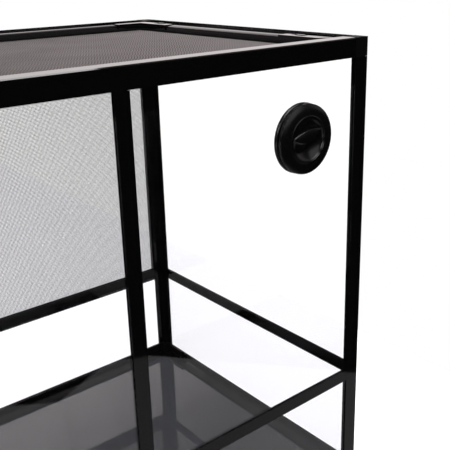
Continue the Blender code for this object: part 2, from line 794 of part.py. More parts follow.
def make_doors():
    for x in (-1, 1):
        side = SIDE_NAMES[x]
        hinge = x * PIVOT_X
        outer = x * (WIDTH / 2 - DOOR_EDGE_INSET)
        meeting = x * MEETING_X
        inner_outer = outer - x * DOOR_FRAME_WIDTH
        inner_meeting = meeting + x * DOOR_FRAME_WIDTH
        low = DOOR_BOTTOM + DOOR_BAR_WIDTH
        high = DOOR_TOP - DOOR_BAR_WIDTH
        outside = rectangle(hinge, meeting, DOOR_BOTTOM, DOOR_TOP)
        opening = rectangle(inner_outer, inner_meeting, low, high)
        name = "door_frame_" + side
        door = outline_solid(name, [outside, opening], "Y", -DOOR_FRONT, -DOOR_BACK, "frame_black")
        edge = cylinder(
            name + "_edge",
            DOOR_THICKNESS / 2,
            "Z",
            DOOR_BOTTOM,
            DOOR_TOP,
            (hinge, -DOOR_MIDDLE),
        )
        join(door, edge)
        rabbet = (
            (inner_outer + x * RABBET_WIDTH, -DOOR_BACK - RABBET_DEPTH, low - RABBET_WIDTH),
            (inner_meeting - x * RABBET_WIDTH, -DOOR_BACK + 1 * MM, high + RABBET_WIDTH),
        )
        cut(door, boxes(name + "_rabbet", [rabbet]))
        cut(door, pivot_bores(name, hinge))
        join(door, door_pull(name, x))
        if x == -1:
            cut(door, latch_bore())
        seat = RABBET_WIDTH - GAP
        edges = sorted((inner_outer + x * seat, inner_meeting - x * seat))
        sheet = rectangle(edges[0], edges[1], low - seat, high + seat)
        front = -DOOR_BACK - RABBET_DEPTH + GAP
        outline_solid(
            "door_screen_" + side, [sheet], "Y", front, front + SCREEN_THICKNESS, "screen_grey"
        )


def pivot_bores(name, hinge):
    """One object with the two holes that the pivot pins go into."""
    radius = PIVOT_RADIUS + PIVOT_CLEARANCE
    depth = PIVOT_LENGTH + 1 * MM
    lower = cylinder(
        name + "_bore_low", radius, "Z",
        DOOR_BOTTOM - 1 * MM, DOOR_BOTTOM + depth, (hinge, -DOOR_MIDDLE),
    )
    upper = cylinder(
        name + "_bore_high", radius, "Z",
        DOOR_TOP - depth, DOOR_TOP + 1 * MM, (hinge, -DOOR_MIDDLE),
    )
    return join(lower, upper)


def make_hinge_brackets():
    """A block above and below each door, with a pin on the door's axis."""
    below = DOOR_BOTTOM - BRACKET_GAP
    above = DOOR_TOP + BRACKET_GAP
    levels = (
        ("lower", below - BRACKET_HEIGHT, below, below - 1 * MM, DOOR_BOTTOM + PIVOT_LENGTH),
        ("upper", above, above + BRACKET_HEIGHT, DOOR_TOP - PIVOT_LENGTH, above + 1 * MM),
    )
    for x in (-1, 1):
        outer = x * (WIDTH / 2 - DOOR_EDGE_INSET)
        inner = outer - x * BRACKET_WIDTH
        for level, low, high, pin_low, pin_high in levels:
            name = "hinge_bracket_" + level + "_" + SIDE_NAMES[x]
            block = ((outer, -DOOR_FRONT, low), (inner, -DEPTH / 2 - GAP, high))
            bracket = boxes(name, [block], "connector_black")
            centre = (x * PIVOT_X, -DOOR_MIDDLE)
            join(bracket, cylinder(name + "_pin", PIVOT_RADIUS, "Z", pin_low, pin_high, centre))


def latch_bore():
    depth = LATCH_PIN_LENGTH + 2 * GAP
    return cylinder(
        "latch_bore",
        LATCH_PIN_RADIUS + PIVOT_CLEARANCE,
        "Y",
        -DOOR_FRONT - 1 * MM,
        -DOOR_FRONT + depth,
        (-LATCH_X, LATCH_Z),
    )


def arc_points(centre, radius, start, end, count):
    """Points along an arc, with both its ends."""
    points = []
    for index in range(count + 1):
        angle = start + (end - start) * index / count
        points.append((centre[0] + radius * math.cos(angle), centre[1] + radius * math.sin(angle)))
    return points


def stadium(centre, length, width, count):
    """A rectangle with round ends, upright."""
    reach = (length - width) / 2
    top = arc_points((centre[0], centre[1] + reach), width / 2, 0, math.pi, count)
    bottom = arc_points((centre[0], centre[1] - reach), width / 2, math.pi, 2 * math.pi, count)
    return top + bottom


def door_pull(name, x):
    """A finger bar on a door's meeting side."""
    loop = stadium((x * LATCH_X, LATCH_Z - PULL_DROP), PULL_LENGTH, PULL_WIDTH, 10)
    return outline_solid(name + "_pull", [loop], "Y", -DOOR_FRONT - PULL_HEIGHT, -DOOR_MIDDLE)


def make_latch():
    """A turn latch on the left door, upright when it is open."""
    back = -DOOR_FRONT - GAP
    loop = stadium((-LATCH_X, LATCH_Z), LATCH_LENGTH, LATCH_WIDTH, 10)
    latch = outline_solid("door_latch", [loop], "Y", back - LATCH_THICKNESS, back, "connector_black")
    pin = cylinder(
        "latch_pin",
        LATCH_PIN_RADIUS,
        "Y",
        back - LATCH_THICKNESS / 2,
        -DOOR_FRONT + LATCH_PIN_LENGTH,
        (-LATCH_X, LATCH_Z),
    )
    join(latch, pin)


def turned_ring(name, profile, finish_name=None):
    """Turns a closed profile of (radius, outward) points about the port's axis."""
    mesh = bpy.data.meshes.new(name)
    points = [(radius, 0, outward) for radius, outward in profile]
    edges = [(index, (index + 1) % len(points)) for index in range(len(points))]
    mesh.from_pydata(points, edges, [])
    piece = bpy.data.objects.new(name, mesh)
    turn = Matrix.Rotation(-math.pi / 2, 4, "X")
    piece.matrix_world = Matrix.Translation((PORT_X, GLASS_OUTER, PORT_Z)) @ turn
    screw = piece.modifiers.new("turn", "SCREW")
    screw.steps = ROUND_SEGMENTS
    screw.render_steps = ROUND_SEGMENTS
    screw.use_merge_vertices = True
    screw.merge_threshold = 1e-5
    return settle(piece, finish_name)


def circle(radius, count):
    return arc_points((PORT_X, PORT_Z), radius, 0, 2 * math.pi * (count - 1) / count, count - 1)


def make_port():
    """Housing through the pane, its nut inside, and the knob that turns in its bowl."""
    flange_top = GAP + PORT_FLANGE_THICKNESS
    ring_base = flange_top + PORT_GROOVE_WIDTH
    groove_radius = PORT_RING_RADIUS - PORT_GROOVE_DEPTH
    bore = PORT_SLEEVE_RADIUS - PORT_SLEEVE_WALL
    web_back = PORT_WEB_FRONT - PORT_WEB_THICKNESS
    web_middle = PORT_WEB_FRONT - PORT_WEB_THICKNESS / 2
    profile = [
        (PORT_RING_RADIUS, PORT_RING_HEIGHT - PORT_EDGE),
        (PORT_RING_RADIUS, ring_base),
        (groove_radius, ring_base),
        (groove_radius, flange_top),
        (PORT_FLANGE_RADIUS - PORT_EDGE, flange_top),
        (PORT_FLANGE_RADIUS, flange_top - PORT_EDGE),
        (PORT_FLANGE_RADIUS, GAP),
        (PORT_SLEEVE_RADIUS, GAP),
        (PORT_SLEEVE_RADIUS, -PORT_SLEEVE_LENGTH),
        (bore, -PORT_SLEEVE_LENGTH),
        (bore, web_middle),
        (PORT_BOWL_RADIUS, web_middle),
        (PORT_BOWL_RADIUS, PORT_RIM_HEIGHT - PORT_EDGE),
        (PORT_BOWL_RADIUS + PORT_EDGE, PORT_RIM_HEIGHT),
        (PORT_RING_RADIUS - PORT_EDGE, PORT_RING_HEIGHT),
    ]
    housing = turned_ring("port_housing", profile, "port_black")
    hub = circle(PORT_AXLE_RADIUS + PORT_RUNNING_GAP, 24)
    rim = circle(PORT_BOWL_RADIUS + 1 * MM, ROUND_SEGMENTS)
    web = outline_solid(
        "port_web",
        [rim, hub],
        "Y",
        GLASS_OUTER + web_back,
        GLASS_OUTER + PORT_WEB_FRONT,
    )
    join(housing, web)
    disc_back = PORT_WEB_FRONT + GAP
    disc_front = disc_back + PORT_DISC_THICKNESS
    knob = outline_solid(
        "port_knob",
        [circle(PORT_BOWL_RADIUS - PORT_RUNNING_GAP, ROUND_SEGMENTS)],
        "Y",
        GLASS_OUTER + disc_back,
        GLASS_OUTER + disc_front,
        "port_black",
    )
    axle = cylinder(
        "port_axle",
        PORT_AXLE_RADIUS,
        "Y",
        GLASS_OUTER + disc_front - PORT_AXLE_LENGTH,
        GLASS_OUTER + disc_back + 1 * MM,
        (PORT_X, PORT_Z),
    )
    join(knob, axle)
    join(knob, port_grip(disc_front))
    nut_front = GLASS_OUTER - GLASS_THICKNESS - GAP
    outline_solid(
        "port_nut",
        [circle(PORT_NUT_RADIUS, ROUND_SEGMENTS), circle(PORT_NUT_BORE, ROUND_SEGMENTS)],
        "Y",
        nut_front - PORT_NUT_THICKNESS,
        nut_front,
        "port_black",
    )


def port_grip(disc_front):
    """The knob's finger bar: barrel-shaped in front view, flat above and sloping below."""
    half_length = PORT_GRIP_LENGTH / 2
    half_width = PORT_GRIP_WIDTH / 2
    half_end = PORT_GRIP_END_WIDTH / 2
    root = disc_front - 1 * MM
    profile = [
        (half_width, root), (half_width - 1 * MM, PORT_GRIP_TOP),
        (0, PORT_GRIP_TOP), (-half_width, root + 1.5 * MM), (-half_width, root),
    ]
    grip = outline_solid(
        "port_grip",
        [[(GLASS_OUTER + t, across) for across, t in profile]],
        "X",
        -half_length - 1 * MM,
        half_length + 1 * MM,
    )
    grip.matrix_world = tilted() @ grip.matrix_world
    rise = half_width - half_end
    radius = (half_length ** 2 + rise ** 2) / (2 * rise)
    reach = math.asin(half_length / radius)
    offset = radius - half_width
    upper = arc_points((0, -offset), radius, math.pi / 2 - reach, math.pi / 2 + reach, 12)
    lower = arc_points((0, offset), radius, -math.pi / 2 - reach, -math.pi / 2 + reach, 12)
    barrel = outline_solid(
        "port_grip_barrel",
        [upper + lower],
        "Y",
        GLASS_OUTER + root - 1 * MM,
        GLASS_OUTER + PORT_GRIP_TOP + 1 * MM,
    )
    barrel.matrix_world = tilted() @ barrel.matrix_world
    return combine(grip, barrel, "INTERSECT")


def tilted():
    """Moves a shape made at the world's origin onto the port's axis, turned to its tilt."""
    return Matrix.Translation((PORT_X, 0, PORT_Z)) @ Matrix.Rotation(PORT_TILT, 4, "Y")


def shapers(piece):
    """A piece with every cutter or addition that its Booleans use, at any depth."""
    found = [piece]
    for modifier in piece.modifiers:
        if modifier.type == "BOOLEAN":
            found += shapers(modifier.object)
    return found


def hang(name, location, nodes, carrier=None):
    """Parents moving pieces to an empty that stands on their joint's axis."""
    axis = bpy.data.objects.new(name, None)
    axis.empty_display_size = 20 * MM
    axis.location = location
    PARTS.objects.link(axis)
    bpy.context.view_layer.update()
    members = [member for node in nodes for member in shapers(bpy.data.objects[node])]
    for member in members:
        member.parent = axis
        member.matrix_parent_inverse = axis.matrix_world.inverted()
    if carrier:
        axis.parent = carrier
        axis.matrix_parent_inverse = carrier.matrix_world.inverted()
    return axis


def hang_moving_pieces():
    """Doors, latch, lid, locks and knob, each on its own axis."""
    middle = (DOOR_BOTTOM + DOOR_TOP) / 2
    for x in (-1, 1):
        side = SIDE_NAMES[x]
        nodes = ["door_frame_" + side, "door_screen_" + side]
        door = hang("door_axis_" + side, (x * PIVOT_X, -DOOR_MIDDLE, middle), nodes)
        if x == -1:
            hang("latch_axis", (-LATCH_X, -DOOR_FRONT, LATCH_Z), ["door_latch"], door)
    corners = [corner_name(x, y) for x, y in CORNERS]
    nodes = ["lid_frame", "lid_screen", "lid_spline"] + ["lid_corner_" + name for name in corners]
    lid = hang("lid_axis", (0, 0, LID_BOTTOM), nodes)
    near = LID_EDGE + LOCK_FROM_CORNER + LOCK_WIDTH / 2
    for x, y in CORNERS:
        name = corner_name(x, y)
        spot = (side_x(x, LID_EDGE + LOCK_LENGTH / 2), side_y(y, near), LID_TOP)
        hang("lock_axis_" + name, spot, ["lid_lock_" + name], lid)
    hang("knob_axis", (PORT_X, GLASS_OUTER + PORT_WEB_FRONT, PORT_Z), ["port_knob"])


make_corner_posts()
make_outer_rails()
make_top_connectors()
make_base_connectors()
make_mid_post()
make_mid_rails()
make_glass()
make_floor()
make_lid()
make_lid_corners()
make_lid_locks()
make_doors()
make_hinge_brackets()
make_latch()
make_port()
hang_moving_pieces()
bpy.context.view_layer.update()
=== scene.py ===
"""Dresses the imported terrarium: finishes, woven screens, rotary port, seals and a plain studio."""
import math

import bmesh
import bpy
from bpy.props import FloatProperty, FloatVectorProperty, IntProperty, PointerProperty
from mathutils import Matrix, Vector


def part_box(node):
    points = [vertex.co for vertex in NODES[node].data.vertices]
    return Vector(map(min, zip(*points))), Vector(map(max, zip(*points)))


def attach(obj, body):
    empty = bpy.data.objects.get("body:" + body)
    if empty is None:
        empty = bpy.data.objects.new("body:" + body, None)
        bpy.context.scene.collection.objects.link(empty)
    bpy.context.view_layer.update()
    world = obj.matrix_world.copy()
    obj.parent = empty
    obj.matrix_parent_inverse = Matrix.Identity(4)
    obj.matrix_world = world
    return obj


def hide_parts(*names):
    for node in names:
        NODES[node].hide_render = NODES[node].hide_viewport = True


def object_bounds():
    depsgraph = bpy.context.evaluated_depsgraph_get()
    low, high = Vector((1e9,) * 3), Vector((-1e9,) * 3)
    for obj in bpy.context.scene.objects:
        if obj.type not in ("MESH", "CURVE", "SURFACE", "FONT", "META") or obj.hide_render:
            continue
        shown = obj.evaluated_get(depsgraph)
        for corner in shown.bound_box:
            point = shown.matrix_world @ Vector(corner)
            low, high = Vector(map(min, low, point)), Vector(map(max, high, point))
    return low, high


bl_info = {
    "name": "Terrarium dresser",
    "version": (1, 0, 0),
    "blender": (4, 5, 0),
    "location": "3D View > Sidebar > Terrarium",
    "description": "Finishes, screens, port and studio for a framed glass terrarium",
    "category": "Object",
}

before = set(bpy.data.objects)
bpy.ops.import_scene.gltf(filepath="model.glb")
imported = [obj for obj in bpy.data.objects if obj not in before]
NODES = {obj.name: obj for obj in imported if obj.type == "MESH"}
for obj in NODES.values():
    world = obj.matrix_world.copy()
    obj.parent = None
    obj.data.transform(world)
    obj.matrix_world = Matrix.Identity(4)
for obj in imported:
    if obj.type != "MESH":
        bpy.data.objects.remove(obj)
CAD_BOUNDS = [list(corner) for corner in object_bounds()]
MM = 0.001
SIDES = ("left", "right")
CORNERS = [face + "_" + side for face in ("front", "rear") for side in SIDES]
FRAME_BARS = [name for name in NODES if name.startswith(("corner_post", "mid_", "top_rail", "base_rail"))]
CONNECTORS = [name for name in NODES if name.startswith(("top_connector", "base_connector"))]
PANES = [name for name in NODES if name.startswith("glass")]
FRAME_HALF_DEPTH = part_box("top_rail_rear")[1][1]

# The port stands on the outer face of its pane; its pieces are drawn in millimetres, outward as +Z
PORT_CENTRE = (-0.219, 0.2238, 0.4995)
PORT_PLACE = Matrix.Translation(PORT_CENTRE) @ Matrix.Rotation(math.radians(-90), 4, "X")
PORT_TILT = math.radians(9)
BOWL_RADIUS = 23.6
BOWL_RIM = 12.6


def colour_property(name, default, description):
    return FloatVectorProperty(
        name=name, description=description, default=default, size=3, subtype="COLOR", min=0, max=1
    )


def length_property(name, default, description):
    return FloatProperty(
        name=name, description=description, default=default, subtype="DISTANCE", unit="LENGTH", precision=5
    )


def level_property(name, default, description):
    return FloatProperty(name=name, description=description, default=default, min=0)


def power_property(name, default, description):
    return FloatProperty(
        name=name, description=description, default=default, min=0, subtype="POWER", unit="POWER"
    )


class TerrariumStageSettings(bpy.types.PropertyGroup):
    floor_colour: colour_property("Floor", (0.98, 0.98, 0.98), "Colour of the studio floor")
    floor_glow: level_property("Floor glow", 0.35, "Light that the floor adds to what the camera sees")
    far_floor_mirrored: level_property("Mirrored far floor", 1.1, "Level of the far floor in reflections")
    floor_mirrored: level_property("Mirrored floor", 0.31, "Level of the near floor in reflections")
    backdrop: level_property("Backdrop", 1.0, "Level of the white background")
    backdrop_glow: level_property("Backdrop's glow", 1.3, "Level of the background through glass")
    backdrop_mirrored: level_property("Mirrored backdrop", 1.2, "Level of the background in reflections")
    backdrop_tint: colour_property("Mirrored tint", (1, 0.93, 0.93), "Colour of mirrored background")
    backdrop_bottom: FloatProperty(
        name="Backdrop's lower edge", description="Elevation at which reflections start to show the backdrop",
        default=math.radians(5.2), subtype="ANGLE", unit="ROTATION",
    )
    dark_side: level_property("Dark side", 0.006, "Level of the camera's side in reflections")
    fill: level_property("Fill", 0.45, "Level of the even light from all round")
    lamp_power: power_property("Lamp", 60.0, "Power of the large lamp above")
    lamp_size: length_property("Lamp size", 1.6, "Edge of the large lamp above")
    front_lamp_power: power_property("Front lamp", 6.0, "Power of the lamp in front of the port")
    side_lamp_power: power_property("Side lamp", 16.0, "Power of the lamp at the port's left")


class TerrariumFinishSettings(bpy.types.PropertyGroup):
    coat: colour_property("Coat", (0.0016, 0.0016, 0.0018), "Black coat of the bars")
    moulding: colour_property("Moulding", (0.0018, 0.0018, 0.002), "Black of the corner connectors")
    lid_coat: colour_property("Lid coat", (0.003, 0.003, 0.0032), "Black of the lid's strips and plates")
    floor_depth: length_property("Floor depth", 6 * MM, "Drop of the floor panel inside its rim")
    slab: colour_property("Floor panel", (0.019, 0.02, 0.025), "Colour of the floor panel")
    port: colour_property("Port", (0.0018, 0.0017, 0.0018), "Black of the rotary port")
    rubber: colour_property("Rubber", (0.004, 0.004, 0.004), "Colour of the lid's spline")
    bar_edge: length_property("Bar edge", 0.5 * MM, "Rounding of the bars' edges")
    top_bar_edge: length_property("Top bar edge", 0.6 * MM, "Rounding of the top bars' edges")
    plate_edge: length_property("Plate edge", 0.45 * MM, "Rounding of the lid's pieces")


class TerrariumScreenSettings(bpy.types.PropertyGroup):
    pitch: length_property("Pitch", 2.0 * MM, "Distance between wires")
    wire: length_property("Wire", 0.68 * MM, "Diameter of a wire")
    colour: colour_property("Lid wire colour", (0.21, 0.18, 0.18), "Colour of the lid's woven wire")
    door_colour: colour_property("Door wire colour", (0.3, 0.29, 0.29), "Colour of the doors' woven wire")
    # The glints are painted highlights in the wires' colour, repeated at these distances
    lid_painted_glints: length_property("Lid glints", 3.0 * MM, "Distance between the glints of the lid's weave")
    door_painted_glints: length_property("Door glints", 4.6 * MM, "Distance between the glints of the doors' weave")


class TerrariumPortSettings(bpy.types.PropertyGroup):
    steps: IntProperty(name="Steps", description="Facets of the turned pieces", default=96, min=24)
    bowl_depth: length_property("Bowl depth", 7.2 * MM, "Depth of the knob's bowl below its rim")
    grip_height: length_property("Grip height", 14 * MM, "Top of the finger bar in front of the pane")


def put_in_scene(piece):
    bpy.context.scene.collection.objects.link(piece)
    return piece


def mesh_piece(name, build):
    """A new object whose mesh is filled by build, which gets an empty bmesh."""
    shape = bmesh.new()
    build(shape)
    mesh = bpy.data.meshes.new(name)
    shape.to_mesh(mesh)
    shape.free()
    return put_in_scene(bpy.data.objects.new(name, mesh))


def dress(piece, material):
    piece.data.materials.clear()
    piece.data.materials.append(material)


def dress_node(name, material):
    """Gives a CAD node a finish on its own slots."""
    node = NODES[name]
    for slot in node.material_slots:
        slot.material = material
    if not node.material_slots:
        node.data.materials.append(material)


def soften(piece, width, segments=2, angle=30):
    """Rounds the sharp edges with a Bevel modifier."""
    bevel = piece.modifiers.new("edges", "BEVEL")
    bevel.width = width
    bevel.segments = segments
    bevel.limit_method = "ANGLE"
    bevel.angle_limit = math.radians(angle)
    bevel.harden_normals = True


def smooth(piece, angle=35):
    piece.data.shade_smooth()
    piece.data.set_sharp_from_angle(angle=math.radians(angle))


# Shader helpers

def new_group(name, inputs, outputs):
    """A node group with named sockets, its input and output nodes ready."""
    group = bpy.data.node_groups.new(name, "ShaderNodeTree")
    for socket, kind, value in inputs:
        made = group.interface.new_socket(socket, in_out="INPUT", socket_type=kind)
        made.default_value = value
    for socket, kind in outputs:
        group.interface.new_socket(socket, in_out="OUTPUT", socket_type=kind)
    return group, group.nodes.new("NodeGroupInput"), group.nodes.new("NodeGroupOutput")


def smudges_group():
    """A value between Low and High that wanders slowly over the surface, for roughness."""
    name = "smudges"
    if name in bpy.data.node_groups:
        return bpy.data.node_groups[name]
    group, given, result = new_group(
        name,
        (
            ("Scale", "NodeSocketFloat", 20),
            ("Low", "NodeSocketFloat", 0.1),
            ("High", "NodeSocketFloat", 0.2),
        ),
        (("Value", "NodeSocketFloat"),),
    )
    place = group.nodes.new("ShaderNodeTexCoord")
    noise = group.nodes.new("ShaderNodeTexNoise")
    noise.inputs["Detail"].default_value = 4
    spread = group.nodes.new("ShaderNodeMapRange")
    spread.inputs["From Min"].default_value = 0.3
    spread.inputs["From Max"].default_value = 0.7
    links = group.links
    links.new(place.outputs["Object"], noise.inputs["Vector"])
    links.new(given.outputs["Scale"], noise.inputs["Scale"])
    links.new(noise.outputs["Fac"], spread.inputs["Value"])
    links.new(given.outputs["Low"], spread.inputs["To Min"])
    links.new(given.outputs["High"], spread.inputs["To Max"])
    links.new(spread.outputs["Result"], result.inputs["Value"])
    return group


def grain_group():
    """Fine grain: a height for bump and a colour that varies a little with it."""
    name = "grain"
    if name in bpy.data.node_groups:
        return bpy.data.node_groups[name]
    group, given, result = new_group(
        name,
        (
            ("Colour", "NodeSocketColor", (0.5, 0.5, 0.5, 1)),
            ("Scale", "NodeSocketFloat", 900),
            ("Shade", "NodeSocketFloat", 0.2),
        ),
        (("Colour", "NodeSocketColor"), ("Height", "NodeSocketFloat")),
    )
    place = group.nodes.new("ShaderNodeTexCoord")
    noise = group.nodes.new("ShaderNodeTexNoise")
    noise.inputs["Detail"].default_value = 3
    spread = group.nodes.new("ShaderNodeMapRange")
    spread.inputs["From Min"].default_value = 0.25
    spread.inputs["From Max"].default_value = 0.75
    darkest = group.nodes.new("ShaderNodeMath")
    darkest.operation = "SUBTRACT"
    darkest.inputs[0].default_value = 1
    tint = group.nodes.new("ShaderNodeVectorMath")
    tint.operation = "SCALE"
    links = group.links
    links.new(place.outputs["Object"], noise.inputs["Vector"])
    links.new(given.outputs["Scale"], noise.inputs["Scale"])
    links.new(noise.outputs["Fac"], spread.inputs["Value"])
    links.new(given.outputs["Shade"], darkest.inputs[1])
    links.new(darkest.outputs["Value"], spread.inputs["To Min"])
    links.new(given.outputs["Colour"], tint.inputs[0])
    links.new(spread.outputs["Result"], tint.inputs["Scale"])
    links.new(tint.outputs["Vector"], result.inputs["Colour"])
    links.new(noise.outputs["Fac"], result.inputs["Height"])
    return group


def math_node(tree, operation, first=None, second=None):
    node = tree.nodes.new("ShaderNodeMath")
    node.operation = operation
    for index, value in enumerate((first, second)):
        if value is None:
            continue
        if isinstance(value, (int, float)):
            node.inputs[index].default_value = value
        else:
            tree.links.new(value, node.inputs[index])
    return node.outputs["Value"]


def painted_glints_group(name, directions):
    """A value from Low up, highest where waves along the directions, in object space, coincide; it scales a
    colour into painted glints.
    """
    if name in bpy.data.node_groups:
        return bpy.data.node_groups[name]
    group, given, result = new_group(
        name, (("Period", "NodeSocketFloat", 0.003), ("Low", "NodeSocketFloat", 0.5)),
        (("Value", "NodeSocketFloat"),),
    )
    place = group.nodes.new("ShaderNodeTexCoord")
    total = None
    for direction in directions:
        along = group.nodes.new("ShaderNodeVectorMath")
        along.operation = "DOT_PRODUCT"
        along.inputs[1].default_value = direction
        group.links.new(place.outputs["Object"], along.inputs[0])
        turns = math_node(group, "DIVIDE", along.outputs["Value"], given.outputs["Period"])
        wave = math_node(group, "SINE", math_node(group, "MULTIPLY", turns, 2 * math.pi))
        total = math_node(group, "ADD", total, wave) if total else wave
    spread = group.nodes.new("ShaderNodeMapRange")
    spread.inputs["From Min"].default_value = -1
    spread.inputs["From Max"].default_value = 1
    spread.inputs["To Max"].default_value = 1
    group.links.new(total, spread.inputs["Value"])
    group.links.new(given.outputs["Low"], spread.inputs["To Min"])
    group.links.new(spread.outputs["Result"], result.inputs["Value"])
    return group


def place_group(tree, group, values):
    node = tree.nodes.new("ShaderNodeGroup")
    node.node_tree = group
    for socket, value in values.items():
        node.inputs[socket].default_value = value
    return node


def new_material(name):
    material = bpy.data.materials.new(name)
    material.use_nodes = True
    return material, material.node_tree, material.node_tree.nodes["Principled BSDF"]


def surface(name, colour, rough, specular=0.5, smudge_scale=14, grain_scale=900, shade=0.15, bump=0.02):
    """A procedural opaque finish: grain in colour and bump, smudges in roughness."""
    material, tree, shader = new_material(name)
    links = tree.links
    grain = place_group(
        tree, grain_group(), {"Colour": (*colour, 1), "Scale": grain_scale, "Shade": shade}
    )
    smudge = place_group(
        tree, smudges_group(), {"Scale": smudge_scale, "Low": rough[0], "High": rough[1]}
    )
    lift = tree.nodes.new("ShaderNodeBump")
    lift.inputs["Strength"].default_value = bump
    lift.inputs["Distance"].default_value = 0.1 * MM
    links.new(grain.outputs["Colour"], shader.inputs["Base Color"])
    links.new(smudge.outputs["Value"], shader.inputs["Roughness"])
    links.new(grain.outputs["Height"], lift.inputs["Height"])
    links.new(lift.outputs["Normal"], shader.inputs["Normal"])
    shader.inputs["Specular IOR Level"].default_value = specular
    return material


def glass_material():
    """Clear float glass that lets lamp light through without a dark shadow."""
    material, tree, shader = new_material("clear_glass")
    shader.inputs["Base Color"].default_value = (1, 1, 1, 1)
    shader.inputs["Roughness"].default_value = 0
    shader.inputs["IOR"].default_value = 1.5
    shader.inputs["Transmission Weight"].default_value = 1
    passed_light = 0.95
    path = tree.nodes.new("ShaderNodeLightPath")
    pass_light = tree.nodes.new("ShaderNodeMath")
    pass_light.operation = "MULTIPLY_ADD"
    pass_light.inputs[1].default_value = -passed_light
    pass_light.inputs[2].default_value = 1
    tree.links.new(path.outputs["Is Shadow Ray"], pass_light.inputs[0])
    tree.links.new(pass_light.outputs["Value"], shader.inputs["Alpha"])
    return material


# Camera, backdrop and lamps

CAMERA_PLACE = Vector((0.32094, 0.76426, 0.68061))
CAMERA_RIGHT = Vector((-0.762560, 0.646597, -0.020361))
CAMERA_UP = Vector((-0.215270, -0.223946, 0.950530))
SENSOR_WIDTH = 36

# The picture's edge, and the camera's focal length and axis in it, in pixels
PICTURE_EDGE = 450
FOCAL_LENGTH = 717.445
AXIS_ACROSS = 239.47
AXIS_DOWN = 197.84

# Level direction from the camera to what lies behind the object
BEHIND = (-0.6417, -0.7670, 0.0)

# Reflections keep the whole backdrop near this direction and show it weaker away from it
FULL_BACKDROP = (0, -1, -0.3)

# The floor's corners in metres, cut back on the port's side
FLOOR_OUTLINE = (
    (-0.65, -2.2), (2.2, -2.2), (2.2, 2.6), (1.7, 2.6), (0.1, 0.8), (-0.1, 0.66),
    (-0.22, 0.715), (-0.29, 0.69), (-0.354, 0.612), (-0.525, 0.402), (-0.65, 0.25),
)

# Distances from the object's centre between which the floor's mirrored level changes
NEAR_FLOOR = 1.2
FAR_FLOOR = 1.7


def make_camera():
    data = bpy.data.cameras.new("camera")
    data.sensor_width = SENSOR_WIDTH
    data.lens = FOCAL_LENGTH / PICTURE_EDGE * SENSOR_WIDTH
    data.shift_x = (PICTURE_EDGE / 2 - AXIS_ACROSS) / PICTURE_EDGE
    data.shift_y = (AXIS_DOWN - PICTURE_EDGE / 2) / PICTURE_EDGE
    data.clip_start = 0.01
    data.clip_end = 50
    camera = put_in_scene(bpy.data.objects.new("camera", data))
    back = CAMERA_RIGHT.cross(CAMERA_UP)
    turn = Matrix((CAMERA_RIGHT, CAMERA_UP, back)).transposed().to_4x4()
    camera.matrix_world = Matrix.Translation(CAMERA_PLACE) @ turn
    bpy.context.scene.camera = camera


def ramp(tree, value, low, high, bottom, top):
    """Maps value from low..high to bottom..top, flat beyond both ends."""
    node = tree.nodes.new("ShaderNodeMapRange")
    node.inputs["From Min"].default_value = low
    node.inputs["From Max"].default_value = high
    node.inputs["To Min"].default_value = bottom
    node.inputs["To Max"].default_value = top
    tree.links.new(value, node.inputs["Value"])
    return node.outputs["Result"]


def make_surroundings(stage):
    """White to the camera; in reflections white behind the object and dark on the camera's side."""
    edge_softness = 0.008
    weakest = 0.3
    world = bpy.data.worlds.new("studio")
    world.use_nodes = True
    bpy.context.scene.world = world
    tree = world.node_tree
    background = tree.nodes["Background"]
    path = tree.nodes.new("ShaderNodeLightPath")
    place = tree.nodes.new("ShaderNodeTexCoord")
    along = tree.nodes.new("ShaderNodeVectorMath")
    along.operation = "DOT_PRODUCT"
    along.inputs[1].default_value = BEHIND
    tree.links.new(place.outputs["Generated"], along.inputs[0])
    behind = ramp(tree, along.outputs["Value"], -0.1, 0.3, 0, 1)
    height = tree.nodes.new("ShaderNodeSeparateXYZ")
    tree.links.new(place.outputs["Generated"], height.inputs["Vector"])
    lower_edge = math.sin(stage.backdrop_bottom)
    above = ramp(tree, height.outputs["Z"], lower_edge - edge_softness, lower_edge + edge_softness, 0, 1)
    falloff = tree.nodes.new("ShaderNodeVectorMath")
    falloff.operation = "DOT_PRODUCT"
    falloff.inputs[1].default_value = FULL_BACKDROP
    tree.links.new(place.outputs["Generated"], falloff.inputs[0])
    spread = ramp(tree, falloff.outputs["Value"], 0.47, 0.6, weakest, 1)
    both = math_node(tree, "MULTIPLY", math_node(tree, "MULTIPLY", behind, above), spread)
    side = ramp(tree, both, 0, 1, stage.dark_side, stage.backdrop_mirrored)
    seen = math_node(tree, "MAXIMUM", path.outputs["Is Camera Ray"], path.outputs["Is Transmission Ray"])
    shown = math_node(tree, "MAXIMUM", seen, path.outputs["Is Glossy Ray"])
    mirrored = math_node(tree, "GREATER_THAN", path.outputs["Glossy Depth"], 0.5)
    direct = ramp(tree, path.outputs["Is Camera Ray"], 0, 1, stage.backdrop_glow, stage.backdrop)
    level = tree.nodes.new("ShaderNodeMix")
    tree.links.new(direct, level.inputs["A"])
    tree.links.new(mirrored, level.inputs["Factor"])
    tree.links.new(side, level.inputs["B"])
    final = tree.nodes.new("ShaderNodeMix")
    final.inputs["A"].default_value = stage.fill
    tree.links.new(shown, final.inputs["Factor"])
    tree.links.new(level.outputs["Result"], final.inputs["B"])
    tree.links.new(final.outputs["Result"], background.inputs["Strength"])
    tint = tree.nodes.new("ShaderNodeMix")
    tint.data_type = "RGBA"
    tint.inputs["A"].default_value = (1, 1, 1, 1)
    tint.inputs["B"].default_value = (*stage.backdrop_tint, 1)
    tree.links.new(mirrored, tint.inputs["Factor"])
    tree.links.new(tint.outputs["Result"], background.inputs["Color"])


